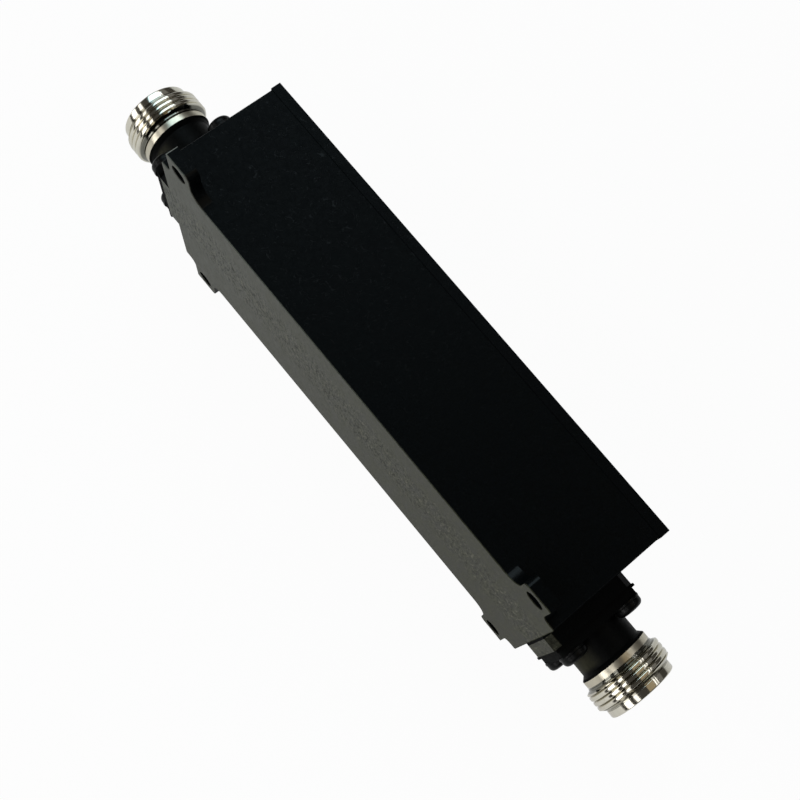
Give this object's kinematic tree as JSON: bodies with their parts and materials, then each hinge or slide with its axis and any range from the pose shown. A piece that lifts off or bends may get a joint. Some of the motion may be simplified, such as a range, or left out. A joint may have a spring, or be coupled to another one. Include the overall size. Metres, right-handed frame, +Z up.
{
  "type": "cavity bandpass filter",
  "caption": "Rectangular cavity bandpass filter with mounting ears, tuning screws in its lid and a threaded coaxial flange jack on each short end.",
  "frame": {"origin": "middle of the bare mounting face", "axes": "+X along the filter from one jack to the other, -Y out of the mounting face, +Y towards the lid, +Z up across the filter when it is bolted to a wall"},
  "size_m": [0.1422, 0.0305, 0.0522],
  "materials": {
    "housing_paint": "satin black paint with a fine wrinkle, mounting face bare",
    "black_screw": "painted over with the housing",
    "plated_brass": "bright brass",
    "plated_nut": "nickel plated",
    "steel_screw": "bright",
    "silver_plate": "silver plated",
    "jack_plating": "bright nickel on the coupling end, black paint on flange and neck",
    "insulator": "white PTFE",
    "gold_contact": "gold plated",
    "gasket": "thin plate painted over with the housing"
  },
  "bodies": {
    "root": {"housing": "housing_paint", "lid": "housing_paint", "lid_screws": "black_screw", "tuning_screws": "plated_brass", "tuning_nuts": "plated_nut", "coupling_screws": "plated_brass", "coupling_nuts": "plated_nut", "resonator_screws": "steel_screw", "resonator_1": "silver_plate", "resonator_2": "silver_plate", "resonator_3": "silver_plate", "resonator_4": "silver_plate", "resonator_5": "silver_plate", "jack_shell_in": "jack_plating", "jack_insulator_in": "insulator", "jack_contact_in": "gold_contact", "jack_gasket_in": "gasket", "tap_wire_in": "silver_plate", "jack_shell_out": "jack_plating", "jack_insulator_out": "insulator", "jack_contact_out": "gold_contact", "jack_gasket_out": "gasket", "tap_wire_out": "silver_plate", "jack_washers": "black_screw", "jack_screws": "black_screw"}
  },
  "joints": []
}
